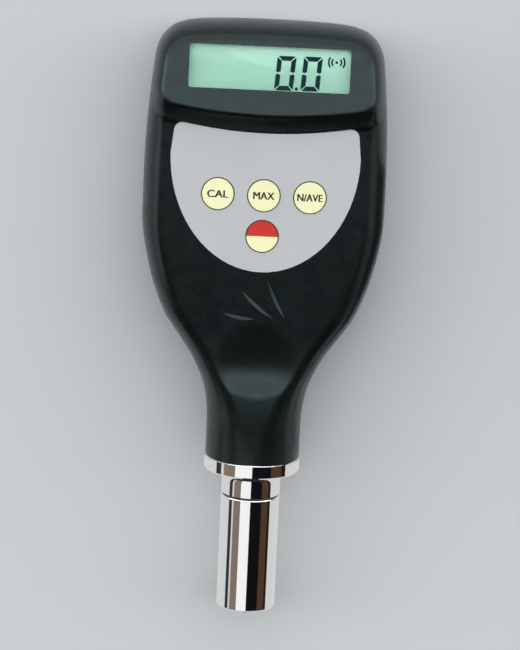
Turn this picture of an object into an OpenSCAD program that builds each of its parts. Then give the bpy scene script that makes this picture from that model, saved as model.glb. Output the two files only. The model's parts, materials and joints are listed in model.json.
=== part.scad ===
// Handheld digital durometer: a moulded fan-shaped housing with a raised display hood,
// a keypad with four keys, and a chromed collar and barrel that guide a sprung indenter.
// It lies on its back: +Z points out of the display, the barrel points to -Y.

/* [Housing] */
// Length from the collar's flange to the top of the head
housing_len = 119; // [112:1:130]
// Width across the head
head_w = 65; // [64:0.5:72]
// Distance from the barrel's axis to the flat back
back_depth = 13; // [13:0.25:15]
// Distance from the barrel's axis to the keypad face
face_height = 11.5; // [11.5:0.25:13]
// Diameter of the neck at the flange
neck_d = 25.6; // [25:0.2:25.8]
// Straight length of the neck before it flares
neck_len = 9; // [6:1:12]
// Length over which the neck flares into the head
flare_len = 58; // [50:1:60]
// How far each side draws in towards the top of the head
head_taper = 3.5; // [2:0.25:4]
// Height of the rounded top of the head
crown_h = 10; // [9:0.5:12]
// Width of the rounding along the housing's edges
edge_round = 6; // [5:0.25:6.5]
// Thickness of the moulded walls
wall = 2; // [1.8:0.1:2.2]

/* [Display hood] */
// Distance of the hood's centre from the top of the head
hood_back = 11.3; // [11:0.1:13]
// Height of the hood's face above the keypad face at its centre
hood_rise = 1.9; // [1.5:0.1:2.5]
// Angle by which the hood's face leans towards the top of the head
hood_tilt = 9; // [6:0.5:10]
// Distance from the hood's centre to its lower edge
hood_drop = 14.2; // [13.6:0.2:14.6]
// Width of the hood at its lower edge
hood_low_w = 60.6; // [59.6:0.2:61]
// Radius of the rounding along the hood's edge
hood_round = 1.4; // [1.2:0.1:2]
// Radius of the hood's corners seen from the front
hood_corner = 7; // [5:0.5:8]
// Radius of the hood's curved lower edge
hood_arc = 147; // [110:1:200]
// Distance from each side of the head to the window opening
window_margin = 11.35; // [10.8:0.05:13]
// Height of the window opening
window_h = 11.5; // [10:0.1:12]
// Overlap of the window plate behind its opening
window_lap = 1.2; // [0.8:0.1:1.4]
// Thickness of the hood's edge over the window plate
window_lip = 0.5; // [0.4:0.1:0.7]
// Thickness of the window plate
window_t = 0.8; // [0.8:0.1:1.1]
// Thickness of the display glass
lcd_t = 2.6; // [2:0.1:2.8]

/* [Keypad] */
// Width of the keypad panel
panel_w = 50.4; // [49:0.2:52]
// Height of the panel's rounded lower part
panel_low_h = 31.4; // [30:0.2:33]
// Height of the panel's upper part, to the middle of its hollow top edge
panel_up_h = 6.1; // [5:0.1:6.4]
// Radius of the panel's hollow top edge
panel_arc = 112; // [100:2:150]
// Width that the panel loses towards its upper corners
panel_draw_in = 2; // [0:0.25:3]
// Thickness of the panel
panel_t = 0.6; // [0.4:0.1:0.8]
// Distance from the head's top to the panel's widest line
panel_back = 34.8; // [34.6:0.2:37]
// Diameter of each key
key_d = 8.3; // [8:0.1:8.6]
// Spacing of the three upper keys
key_pitch = 12.2; // [11.8:0.1:13]
// Height of the power key above the panel's lowest point
power_up = 9.85; // [9.4:0.05:10.2]
// Distance from the power key up to the upper keys
key_row_up = 10.95; // [10.6:0.05:11.4]
// How far a key stands above the panel
key_proud = 0.25; // [0.1:0.05:0.4]
// Travel of a key
key_travel = 0.45; // [0.3:0.05:0.5]

/* [Thumb dish and slashes] */
// Distance from the flange to the centre of the thumb dish
dish_up = 28.3; // [27:0.1:29]
// Width of the thumb dish
dish_w = 20; // [19:0.2:22]
// Height of the thumb dish seen from the front
dish_h = 17.2; // [17:0.2:19]
// Depth of the thumb dish
dish_depth = 2.7; // [2:0.1:3]
// Width of each slash
slash_w = 1.6; // [1.4:0.1:2]
// Depth of each slash at its steep side
slash_depth = 0.9; // [0.6:0.05:1]
// Lean of the floor of each slash
slash_lean = 32; // [28:1:36]

/* [Collar and barrel] */
// Diameter of the barrel and of the collar's short neck
barrel_d = 16; // [15:0.1:17]
// Length of the barrel from the presser foot to the seam
barrel_len = 31.8; // [29:0.2:34]
// Length of the collar's short neck
collar_neck_len = 7.2; // [6.4:0.2:9]
// Diameter of the collar's flange
flange_d = 26; // [25.6:0.1:26]
// Height of the collar's flange
flange_h = 4; // [3:0.25:5]
// Chamfer on each side of the seam
seam_chamfer = 0.5; // [0.3:0.05:0.7]
// Chamfer of the presser foot's rim
foot_chamfer = 0.4; // [0.2:0.05:0.6]
// Diameter of the hole in the presser foot
foot_hole_d = 3; // [2.6:0.1:3.2]
// Thickness of the presser foot
foot_t = 5; // [4:0.25:5]
// Bore of the barrel
barrel_bore_d = 12; // [11.4:0.1:12.4]
// Diameter of the spigot that joins the collar to the barrel
spigot_d = 13; // [12.8:0.1:13.4]
// Length of that spigot
spigot_len = 8; // [6:0.25:9]
// Diameter of the collar's tail inside the housing
tail_d = 21; // [20.4:0.1:21]
// Length of the collar's tail
tail_len = 16; // [15:0.25:17]
// Width of the locking groove in the tail
lock_w = 3; // [2:0.25:3.5]
// Depth of the locking groove in the tail
lock_depth = 2; // [1.5:0.1:2.1]

/* [Indenter] */
// How far the indenter stands out of the presser foot
tip_out = 2.5; // [2:0.05:2.5]
// Diameter of the indenter's pin
pin_d = 1.25; // [1.1:0.05:1.4]
// Diameter of the flat end of the pin
tip_flat_d = 0.79; // [0.7:0.01:0.85]
// Included angle of the pin's conical end
tip_angle = 35; // [30:1:40]
// Diameter of the indenter's shaft
shaft_d = 5; // [4.6:0.1:5.2]
// Length of the guide bush
bush_len = 8; // [7:0.25:9]
// Diameter of the stop shoulder
shoulder_d = 9; // [8.4:0.1:9.4]
// Thickness of the stop shoulder
shoulder_t = 2; // [1.5:0.25:2.5]
// Length of the calibration spring
spring_len = 18; // [16:0.5:19]
// Mean diameter of the calibration spring
spring_d = 7; // [6.6:0.1:7.4]
// Wire diameter of the calibration spring
spring_wire = 0.8; // [0.6:0.05:0.9]
// Turns of the calibration spring
spring_turns = 7; // [5:1:8]
// Diameter of the preload nut
nut_d = 10; // [9.6:0.1:10.4]
// Length of the preload nut
nut_len = 8; // [7:0.25:8.5]
// Diameter of the coil bobbin
bobbin_d = 15; // [14.4:0.1:15]
// Length of the coil bobbin
bobbin_len = 12; // [11:0.25:13]
// Length of the sensor core
core_len = 12; // [10:0.25:12.5]

/* [Batteries] */
// Diameter of a cell
cell_d = 10.5; // [10:0.1:10.5]
// Length of a cell over its nub
cell_len = 44.5; // [43:0.25:44.5]
// Spacing of the cells
cell_pitch = 11; // [10.9:0.05:11]
// Length of a contact spring
contact_len = 4.7; // [4:0.1:5]
// Thickness of the contact plates
contact_t = 0.4; // [0.3:0.05:0.5]
// Thickness of the battery cover
cover_t = 1.8; // [1.6:0.1:1.9]
// Width of the tongue along each side of the cover
tongue_w = 0.9; // [0.6:0.05:1]
// Thickness of the inner walls around the cells
bay_wall = 1.2; // [1:0.1:1.3]

/* [Board and screws] */
// Thickness of the main board
board_t = 1.6; // [1.2:0.1:1.6]
// Width of the main board
board_w = 46.6; // [46:0.2:47]
// Distance from the keypad face to the board's front
board_below = 7.5; // [7.3:0.1:7.5]
// Thread diameter of the case screws
case_screw_d = 2.2; // [2:0.1:2.4]
// Head diameter of the case screws
case_head_d = 4; // [3.6:0.1:4.2]
// Diameter of the screw posts in the shells
post_d = 5.4; // [5:0.1:5.6]
// Distance of the upper screw posts from the housing's side
post_inset = 5.2; // [5:0.1:5.6]
// Distance of the upper screw posts above the panel's widest line
post_up = 8; // [7:0.5:9]
// Distance of the lower screw posts from the housing's side
low_post_inset = 6.4; // [6.2:0.1:6.6]
// Distance of the lower screw posts above the flange
low_post_up = 37; // [36:0.5:38]
// Reach of the main board below the panel's widest line
board_drop = 38; // [37:0.5:38.5]
// Distance of the board screws from the board's side
board_screw_inset = 2.8; // [2.6:0.1:3]
// Distance of the lower board screws from the board's lower end
board_screw_low = 8; // [7:0.5:9]
// Distance of the upper board screws above the panel's widest line
board_screw_up = 11; // [10.5:0.25:11.5]
// Length of the board screws' thread in their posts
board_bite = 3; // [2.5:0.25:3.5]
// Thread diameter of the board screws
board_screw_d = 1.8; // [1.6:0.1:2]

/* [Fits] */
// Running clearance of the indenter's shaft, on the radius
run_fit = 0.02; // [0.01:0.005:0.05]
// Clearance around keys, panel, window and cover
part_gap = 0.2; // [0.15:0.01:0.3]
// Clearance of pieces that pass each other at a distance
free_gap = 0.3; // [0.3:0.05:0.4]

/* [Hidden] */
$fn = 64;

// Stations along the barrel's axis, counted from the presser foot
seam_y = barrel_len;
flange_y = seam_y + collar_neck_len;
body_y = flange_y + flange_h;
top_y = body_y + housing_len;
flare_y = body_y + neck_len;
full_y = flare_y + flare_len;
crown_y = top_y - crown_h;
face_len = 35;
face_y = body_y + face_len;
straight_len = 8;
crown_power = 9;
crown_bow = 1.2;
crown_round = 2.4;
crown_lead = 24;
crown_run = 18;
neck_lead = 2;
neck_trail = 12;
tail_end_y = body_y + tail_len;
lock_y = body_y + 5;

// Share of the flare's length against share of its growth in width
flare_curve = [[0, 0], [0.17, 0.06], [0.31, 0.235], [0.4, 0.41], [0.53, 0.665], [0.74, 0.885], [1, 1]];

// Hood, window and display
hood_y = top_y - hood_back;
hood_z = face_height + hood_rise;
hood_edge = 0.3;
hood_depth = 8;
window_corner = 0.7;
window_w = head_w - 2 * window_margin;
plate_w = window_w + 2 * window_lap;
plate_h = window_h + 2 * window_lap;
lcd_w = plate_w + 0.8;
lcd_h = plate_h + 0.8;
lcd_top = -window_lip - window_t;
lcd_z = lcd_top - lcd_t;
holder_wall = 1.4;
zebra_w = 2.4;
zebra_gap = 1;

// Keypad
panel_y = top_y - panel_back;
panel_corner = 2.5;
floor_z = face_height - panel_t;
under_face_z = face_height - wall;
key_flange = 0.7;
key_flange_t = 0.8;
key_stem_d = 3;
key_stem_len = 0.7;
key_top_z = face_height + key_proud;
key_stem_z = under_face_z - key_flange_t - key_stem_len;
power_y = panel_y - panel_low_h + power_up;
key_row_y = power_y + key_row_up;
key_spots = [
    ["cal", [-key_pitch, key_row_y]],
    ["max", [0, key_row_y]],
    ["average", [key_pitch, key_row_y]],
    ["power", [0, power_y]]
];
board_z = face_height - board_below;
switch_w = 6;
switch_cap_d = 3.4;
switch_cap_h = 0.3;
press_gap = 0.05;

// Thumb dish and slashes: outer end, inner end
dish_y = body_y + dish_up;
dish_z = face_at(dish_y, face_height);
dish_arc_w = (pow(dish_w / 2, 2) + pow(dish_depth, 2)) / (2 * dish_depth);
dish_arc_h = (pow(dish_h / 2, 2) + pow(dish_depth, 2)) / (2 * dish_depth);
slash_y = panel_y - panel_low_h;
slashes = [
    [[-9.3, -11.4], [-0.9, -12.7]],
    [[-4.6, -5.3], [3.8, -12.3]],
    [[1.9, -1.3], [7, -12.1]]
];

// Indenter
shaft_y = foot_t + 1;
bush_top_y = foot_t + bush_len;
spring_y = bush_top_y + shoulder_t;
nut_y = spring_y + spring_len;
bobbin_y = tail_end_y + 2 - bobbin_len;
bobbin_flange = 1.5;
bobbin_tube_d = 8;
core_y = bobbin_y - 2;
core_stub_d = 2.5;
core_stub_len = 4;
tip_len = (pin_d - tip_flat_d) / 2 / tan(tip_angle / 2);

// Batteries
cover_z = -back_depth + cover_t;
cell_count = 4;
cell_x = [for (i = [0 : cell_count - 1]) (i - (cell_count - 1) / 2) * cell_pitch];
bay_len = cell_len + contact_len + 2 * contact_t;
bay_w = cell_pitch * (cell_count - 1) + cell_d + 1;
bay_top_y = panel_y + 15;
bay_y = bay_top_y - bay_len;
cell_z = cover_z + free_gap + cell_d / 2;
bay_roof_z = cell_z + cell_d / 2;
nub_d = 3.8;
nub_len = 0.8;
contact_w = 7.6;
cover_w = bay_w + 0.8;
cover_y = bay_y - bay_wall - 1;
tongue_h = 1;
deck_t = 1.5;
grip_count = 5;
grip_pitch = 2.2;
grip_w = 1;
grip_depth = 0.5;

// Screws
post_spots = [
    for (p = [[post_inset, panel_y + post_up], [low_post_inset, body_y + low_post_up]])
        [side_w(p[1]) - p[0], p[1]]
];
case_seat_z = -7;
case_tip_z = 5;
case_head_h = 1.8;
case_clear = 0.1;
boss_top_z = 7;
board_low_y = panel_y - board_drop;
board_top_y = top_y - 4.2;
board_screw_x = board_w / 2 - board_screw_inset;
board_spots = [[board_screw_x, board_low_y + board_screw_low], [board_screw_x, panel_y + board_screw_up]];
board_post_d = 4.4;
board_head_d = 3.4;
board_head_h = 1.1;
ribbon_w = 5;
ribbon_t = 0.3;
ribbon_root = 3.6;
ribbon_slope = 5;
ribbon_lap = 4;
ribbon_lead = 1;

// Colours
black_plastic = [0.07, 0.09, 0.09];
grey_panel = [0.77, 0.76, 0.77];
cream = [0.98, 0.97, 0.78];
red = [0.85, 0.2, 0.15];
chrome = [0.82, 0.82, 0.84];
steel = [0.6, 0.61, 0.63];
mint = [0.64, 0.86, 0.74];
brass = [0.75, 0.6, 0.3];
copper = [0.72, 0.4, 0.22];

// Smooth curve through a list of points, level at both ends
function curve_slope(c, i) =
    i == 0 || i == len(c) - 1 ? 0 : (c[i + 1][1] - c[i - 1][1]) / (c[i + 1][0] - c[i - 1][0]);
function curve_part(c, x, i = 0) = i >= len(c) - 2 || x < c[i + 1][0] ? i : curve_part(c, x, i + 1);
function curve_at(c, x) =
    let (
        i = curve_part(c, x),
        h = c[i + 1][0] - c[i][0],
        t = (x - c[i][0]) / h,
        t2 = t * t,
        t3 = t2 * t
    )
    (2 * t3 - 3 * t2 + 1) * c[i][1] + (t3 - 2 * t2 + t) * h * curve_slope(c, i)
    + (3 * t2 - 2 * t3) * c[i + 1][1] + (t3 - t2) * h * curve_slope(c, i + 1);
function ease(t) = let (u = min(max(t, 0), 1)) u * u * (3 - 2 * u);

// Half width of the housing's side at a station, before the crown closes it
function side_w(y) =
    y <= flare_y ? neck_d / 2
    : y < full_y ? neck_d / 2 + (head_w - neck_d) / 2 * curve_at(flare_curve, (y - flare_y) / flare_len)
    : head_w / 2 - head_taper * pow(max(y - full_y - straight_len, 0) / (top_y - full_y - straight_len), 2);

// Point of the crown at a share q of the side's half width: a rounded corner under a gentle bow
function crown_point(q) =
    let (
        corner_h = (crown_h - crown_bow) * sqrt(max(1 - pow(q, crown_power), 0)),
        y = crown_y + corner_h + crown_bow * (1 - q * q)
    )
    [side_w(y) * q, y];
// Right half of the crown, from the side to the middle: by angle around its corner, then by width
function crown(n) =
    let (corner = 60, q0 = pow(cos(corner), 2 / crown_power))
    concat(
        [for (i = [0 : n]) crown_point(pow(cos(corner * i / n), 2 / crown_power))],
        [for (i = [1 : n]) crown_point(q0 * (1 - i / n))]
    );
// Right half of the housing's outline, from a starting station to the middle of the crown
function rim(y0, n_side, n_crown) = concat(
    [for (i = [0 : n_side - 1]) let (y = y0 + (crown_y - y0) * i / n_side) [side_w(y), y]],
    crown(n_crown)
);
function rim_normal(r, i) =
    i == 0 ? [1, 0]
    : i == len(r) - 1 ? [0, 1]
    : let (t = r[i + 1] - r[i - 1]) [t[1], -t[0]] / norm(t);

// Width of the edge rounding: all the way across at the neck, edge_round at the head,
// then top_round at the crown
function round_w(p, top_round) =
    let (
        t = ease((p[1] - body_y - neck_lead) / (face_len - neck_trail)),
        u = ease((p[1] - crown_y + crown_lead) / crown_run)
    )
    p[1] > crown_y ? top_round
    : (side_w(p[1]) - 0.6) * (1 - t) + (edge_round * (1 - u) + top_round * u) * t;
// Height of the housing's face at a station
function face_at(y, full) = neck_d / 2 + (full - neck_d / 2) * ease((y - flare_y) / (face_y - flare_y));

// Mirrors the right half of a ring of points, which ends on the middle plane
function full_ring(half) = concat(
    half, [for (i = [1 : len(half) - 1]) let (p = half[len(half) - 1 - i]) [-p[0], p[1], p[2]]]
);

// Closed solid through a stack of such rings, flat at its first station
module loft(rings) {
    k = len(rings[0]);
    m = (k + 1) / 2;
    last = len(rings) - 1;
    faces = concat(
        [for (j = [0 : last - 1]) for (q = [0 : k - 2])
            [j * k + q, (j + 1) * k + q, (j + 1) * k + q + 1]],
        [for (j = [0 : last - 1]) for (q = [0 : k - 2])
            [j * k + q, (j + 1) * k + q + 1, j * k + q + 1]],
        [for (q = [0 : m - 3])
            [last * k + q, last * k + k - 1 - q, last * k + k - 2 - q, last * k + q + 1]],
        [[last * k + m - 2, last * k + m, last * k + m - 1]],
        [for (q = [0 : m - 3]) [q, q + 1, k - 2 - q, k - 1 - q]],
        [[m - 2, m - 1, m]],
        [for (j = [0 : last - 1]) [j * k + k - 1, (j + 1) * k + k - 1, (j + 1) * k, j * k]]
    );
    polyhedron([for (ring = rings) each ring], faces);
}

// One half of the housing: its outline drawn in and lifted along a quarter ellipse, then closed by a face.
// inset shrinks it for the hollow, skirt carries it below the parting plane.
module half_body(full, top_round, inset, y0, skirt, n_side, n_crown, n_round) {
    r = rim(y0, n_side, n_crown);
    layers = concat(skirt > 0 ? [-1] : [], [for (j = [0 : n_round]) j]);
    loft([
        for (j = layers)
            full_ring([
                for (i = [0 : len(r) - 1])
                    let (
                        a = 90 * max(j, 0) / n_round,
                        draw = inset + (round_w(r[i], top_round) - inset) * (1 - cos(a)),
                        p = r[i] - rim_normal(r, i) * draw
                    )
                    [p[0], p[1], j < 0 ? -skirt : (face_at(p[1], full) - inset) * sin(a)]
            ])
    ]);
}

module front_body() {
    half_body(face_height, crown_round, 0, body_y, 0, 58, 9, 9);
}

module front_hollow() {
    half_body(face_height, crown_round, wall, tail_end_y + 1, 1, 20, 4, 5);
}

module rear_body() {
    rotate([0, 180, 0])
        half_body(back_depth, edge_round, 0, body_y, 0, 58, 9, 6);
}

module rear_hollow() {
    rotate([0, 180, 0])
        half_body(back_depth, edge_round, wall, tail_end_y + 1, 1, 20, 4, 5);
}

// Turns a solid that stands along Z so that it runs along the barrel from a station
module along(y) {
    translate([0, y, 0])
        rotate([-90, 0, 0])
            children();
}

// Draws a profile given as station and height, across a width in X
module across(w) {
    translate([-w / 2, 0, 0])
        rotate([90, 0, 90])
            linear_extrude(w)
                children();
}

module block(x0, x1, y0, y1, z0, z1) {
    translate([x0, y0, z0])
        cube([x1 - x0, y1 - y0, z1 - z0]);
}

module both_sides() {
    children();
    mirror([1, 0, 0])
        children();
}

module hood_frame() {
    translate([0, hood_y, hood_z])
        rotate([-hood_tilt, 0, 0])
            children();
}
// Station and height of a point given in the hood's own plane
function hood_point(u, z) = [
    hood_y + u * cos(hood_tilt) + z * sin(hood_tilt),
    hood_z - u * sin(hood_tilt) + z * cos(hood_tilt)
];

// Right half of the hood's outline in its own plane: curved lower edge, corner, leaning side, crown
function hood_rim(n) =
    let (
        top = [for (p = crown(n)) p - [0, hood_y]],
        lean = (top[0][0] - hood_low_w / 2) / (hood_drop + top[0][1]),
        slant = sqrt(1 + lean * lean),
        c = top[0][0] - lean * top[0][1] - hood_corner * slant,
        k = hood_arc - hood_drop,
        qb = 2 * (lean * c - k),
        qc = c * c + k * k - pow(hood_arc - hood_corner, 2),
        u = (-qb - sqrt(qb * qb - 4 * slant * slant * qc)) / (2 * slant * slant),
        centre = [c + lean * u, u],
        a0 = atan2(centre[1] - k, centre[0]),
        a1 = -atan(lean)
    )
    concat(
        [for (i = [0 : n - 1]) let (a = -90 + (a0 + 90) * max(i / n, 0.01))
            [hood_arc * cos(a), k + hood_arc * sin(a)]],
        [for (i = [0 : n]) let (a = a0 + (a1 - a0) * i / n)
            centre + hood_corner * [cos(a), sin(a)]],
        top
    );

// Raised hood with a rounded edge, drawn in towards its middle; inset shrinks it for the hollow
module hood_block(inset, n, n_round) {
    r = hood_rim(n);
    half_w = max([for (p = r) p[0]]);
    half_h = (r[len(r) - 1][1] - r[0][1]) / 2;
    mid = r[0][1] + half_h;
    round_r = max(hood_round - inset, 1);
    hood_frame()
        loft([
            for (j = [-1 : n_round])
                let (
                    a = 90 * max(j, 0) / n_round,
                    draw = hood_edge + inset + round_r * (1 - cos(a)),
                    z = j < 0 ? -hood_depth : -inset - round_r * (1 - sin(a))
                )
                full_ring([
                    for (p = r)
                        [p[0] * (1 - draw / half_w), mid + (p[1] - mid) * (1 - draw / half_h), z]
                ])
        ]);
}

module rounded_plate(w, h, r, z0, z1) {
    translate([0, 0, z0])
        linear_extrude(z1 - z0)
            union() {
                square([w - 2 * r, h], center = true);
                square([w, h - 2 * r], center = true);
                for (x = [-1, 1], y = [-1, 1])
                    translate([x * (w / 2 - r), y * (h / 2 - r)])
                        circle(r);
            }
}

// Shield-shaped outline of the keypad panel, hollow along its top like the hood's lower edge
module panel_plan(shrink) {
    w = panel_w / 2;
    up = panel_up_h + 3;
    offset(delta = -shrink)
        offset(r = panel_corner)
            offset(delta = -panel_corner)
                translate([0, panel_y])
                    difference() {
                        polygon(concat(
                            [for (i = [0 : 36]) let (a = 180 + 5 * i) [w * cos(a), panel_low_h * sin(a)]],
                            [[w - panel_draw_in / 2, up], [-w + panel_draw_in / 2, up]]
                        ));
                        translate([0, panel_up_h + panel_arc])
                            circle(panel_arc, $fn = 240);
                    }
}

module key_holes(d) {
    for (k = key_spots)
        translate([k[1][0], k[1][1], 0])
            cylinder(d = d, h = 2 * face_height);
}

// Leaf-shaped cutter whose floor leans towards its steep side
module slash_cut(s) {
    a = s[0];
    b = s[1];
    l = norm(b - a);
    r = (pow(l, 2) + pow(slash_w, 2)) / (4 * slash_w);
    translate([(a[0] + b[0]) / 2, slash_y + (a[1] + b[1]) / 2, face_height])
        rotate([0, 0, atan2(b[1] - a[1], b[0] - a[0])])
            rotate([slash_lean, 0, 0])
                translate([0, 0, -slash_depth / 2])
                    linear_extrude(3)
                        intersection() {
                            translate([0, r - slash_w / 2])
                                circle(r);
                            translate([0, slash_w / 2 - r])
                                circle(r);
                        }
}

// Turned cutter, wider than high, that leaves the thumb dish
module dish_cut() {
    reach = dish_w / 2 + 3;
    n = 14;
    arc = [
        for (i = [0 : n])
            let (x = reach * (2 * i / n - 1))
            [dish_arc_h - dish_arc_w + sqrt(pow(dish_arc_w, 2) - x * x), x]
    ];
    translate([0, dish_y, dish_z + dish_arc_h - dish_depth])
        rotate([0, 90, 0])
            rotate_extrude()
                polygon(concat([[0, -reach]], arc, [[0, reach]]));
}

// Thickening behind the thumb dish
module dish_pad() {
    translate([0, dish_y, dish_z - dish_depth - wall])
        cylinder(d = dish_w - 2, h = dish_depth + wall - 1.2);
}

// Room for the display and its holder behind the hood
module display_pocket() {
    low = hood_point(-lcd_h / 2 - part_gap, lcd_top);
    high = hood_point(lcd_h / 2 + part_gap, lcd_top);
    across(lcd_w + 2 * part_gap)
        polygon([low, high, [high[0], -1], [low[0], -1]]);
}

// Half ring that fills the locking groove of the collar's tail; it grows out of the neck's wall
module lock_rib(side) {
    along(lock_y)
        rotate([0, 0, side > 0 ? 180 : 0])
            rotate_extrude(angle = 180)
                translate([tail_d / 2 - lock_depth + case_clear, 0])
                    square([lock_depth + wall / 2, lock_w]);
}

module front_posts() {
    both_sides() {
        for (p = post_spots)
            translate([p[0], p[1], 0])
                cylinder(d = post_d, h = boss_top_z);
        for (p = board_spots)
            translate([p[0], p[1], board_z])
                cylinder(d = board_post_d, h = floor_z - wall / 2 - board_z);
    }
}

module front_shell() {
    color(black_plastic)
        difference() {
            union() {
                difference() {
                    union() {
                        front_body();
                        hood_block(0, 9, 5);
                    }
                    front_hollow();
                    hood_block(wall, 5, 2);
                    display_pocket();
                    along(body_y - 1)
                        cylinder(d = tail_d + 2 * case_clear, h = tail_len + 4);
                }
                front_posts();
                dish_pad();
                lock_rib(1);
            }
            dish_cut();
            hood_frame() {
                rounded_plate(window_w, window_h, window_corner, -wall - 1, 1);
                rounded_plate(plate_w + 2 * part_gap, plate_h + 2 * part_gap, window_corner,
                    -wall - 1, -window_lip);
            }
            translate([0, 0, floor_z])
                linear_extrude(wall)
                    panel_plan(0);
            key_holes(key_d + 2 * part_gap);
            for (s = slashes)
                slash_cut(s);
            both_sides() {
                for (p = post_spots)
                    translate([p[0], p[1], -1])
                        cylinder(d = case_screw_d, h = case_tip_z + 1);
                for (p = board_spots)
                    translate([p[0], p[1], board_z - 1])
                        cylinder(d = board_screw_d, h = board_bite + 2);
            }
        }
}

// Channel in the rear shell that the battery cover slides out of, towards the top of the head
module cover_channel() {
    g = part_gap;
    w = cover_w / 2;
    block(-w - g, w + g, cover_y - g, top_y + 5, -back_depth - 5, cover_z);
    block(-w - tongue_w - g, w + tongue_w + g, cover_y - g, top_y + 5, cover_z - tongue_h - g, cover_z);
}

module rear_shell() {
    b = bay_w / 2;
    color(black_plastic)
        difference() {
            union() {
                difference() {
                    rear_body();
                    rear_hollow();
                    along(body_y - 1)
                        cylinder(d = tail_d + 2 * case_clear, h = tail_len + 4);
                }
                block(-b - bay_wall, b + bay_wall, bay_y - bay_wall, bay_top_y + bay_wall,
                    cover_z - 1, bay_roof_z + bay_wall);
                block(-cover_w / 2 - 1.5, cover_w / 2 + 1.5, cover_y - 1, top_y - edge_round, cover_z - 1,
                    cover_z + deck_t);
                both_sides()
                    for (p = post_spots)
                        translate([p[0], p[1], case_seat_z - 2])
                            cylinder(d = post_d, h = -case_seat_z + 2);
                lock_rib(-1);
            }
            cover_channel();
            block(-b, b, bay_y, bay_top_y, cover_z - 2, bay_roof_z);
            both_sides()
                for (p = post_spots) {
                    translate([p[0], p[1], -back_depth - 1])
                        cylinder(d = case_screw_d + 2 * case_clear, h = back_depth + 2);
                    translate([p[0], p[1], -back_depth - 1])
                        cylinder(d = case_head_d + 2 * part_gap, h = back_depth + 1 + case_seat_z);
                }
        }
}

module battery_cover() {
    w = cover_w / 2;
    grip_y = top_y - 14;
    color(black_plastic)
        difference() {
            intersection() {
                rear_body();
                union() {
                    block(-w, w, cover_y, top_y + 1, -back_depth - 1, cover_z);
                    block(-w - tongue_w, w + tongue_w, cover_y, top_y - edge_round - 1,
                        cover_z - tongue_h, cover_z);
                }
            }
            for (i = [0 : grip_count - 1])
                block(-8, 8, grip_y + i * grip_pitch - grip_w, grip_y + i * grip_pitch,
                    -back_depth - 1, -back_depth + grip_depth);
        }
}

// Window plate with a raised middle that fills its opening
module display_window() {
    color([0.8, 0.9, 0.88, 0.35])
        hood_frame() {
            rounded_plate(plate_w, plate_h, window_corner, lcd_top, -window_lip);
            rounded_plate(window_w - 2 * part_gap, window_h - 2 * part_gap, window_corner,
                lcd_top, -part_gap);
        }
}

module lcd_panel() {
    color(mint)
        hood_frame()
            translate([-lcd_w / 2, -lcd_h / 2, lcd_z])
                cube([lcd_w, lcd_h, lcd_t]);
}

// Frame that carries the display above the board
module lcd_holder() {
    low = hood_point(-lcd_h / 2, lcd_z);
    high = hood_point(lcd_h / 2, lcd_z);
    color(steel)
        difference() {
            across(lcd_w)
                polygon([low, high, [high[0], board_z], [low[0], board_z]]);
            block(holder_wall - lcd_w / 2, lcd_w / 2 - holder_wall,
                low[0] + holder_wall, high[0] - holder_wall, board_z - 1, hood_z);
        }
}

module zebra_strip() {
    y = hood_point(-lcd_h / 2, lcd_z)[0] + holder_wall;
    lift = tan(hood_tilt);
    z = hood_point(-lcd_h / 2, lcd_z)[1] - holder_wall * lift;
    color([0.85, 0.5, 0.6])
        across(lcd_w - 2 * (holder_wall + zebra_gap))
            polygon([[y, board_z], [y + zebra_w, board_z], [y + zebra_w, z - zebra_w * lift], [y, z]]);
}

module main_board() {
    w = board_w / 2;
    cut = 5;
    color([0.1, 0.35, 0.2])
        difference() {
            translate([0, 0, board_z - board_t])
                linear_extrude(board_t)
                    polygon([
                        [-w + cut, board_low_y], [w - cut, board_low_y], [w, board_low_y + cut],
                        [w, board_top_y], [-w, board_top_y], [-w, board_low_y + cut]
                    ]);
            both_sides()
                for (p = board_spots)
                    translate([p[0], p[1], board_z - board_t - 1])
                        cylinder(d = board_screw_d + 2 * case_clear, h = board_t + 2);
        }
}

module board_screws() {
    color(steel)
        both_sides()
            for (p = board_spots)
                translate([p[0], p[1], board_z - board_t]) {
                    cylinder(d = board_screw_d, h = board_t + board_bite);
                    translate([0, 0, -board_head_h])
                        cylinder(d = board_head_d, h = board_head_h);
                }
}

module keypad_panel() {
    color(grey_panel)
        difference() {
            translate([0, 0, floor_z])
                linear_extrude(panel_t)
                    panel_plan(part_gap / 2);
            key_holes(key_d + 2 * part_gap);
        }
}

module key(spot, tint) {
    color(tint)
        translate([spot[0], spot[1], 0]) {
            translate([0, 0, under_face_z - key_flange_t])
                cylinder(d = key_d, h = key_top_z - under_face_z + key_flange_t);
            translate([0, 0, under_face_z - key_flange_t])
                cylinder(d = key_d + 2 * key_flange, h = key_flange_t);
            translate([0, 0, key_stem_z])
                cylinder(d = key_stem_d, h = key_stem_len);
        }
}

module switch(spot) {
    body_h = key_stem_z - key_travel - press_gap - switch_cap_h - board_z;
    color([0.2, 0.2, 0.22])
        translate([spot[0], spot[1], board_z]) {
            translate([-switch_w / 2, -switch_w / 2, 0])
                cube([switch_w, switch_w, body_h]);
            cylinder(d = switch_cap_d, h = body_h + switch_cap_h);
        }
}

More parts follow.
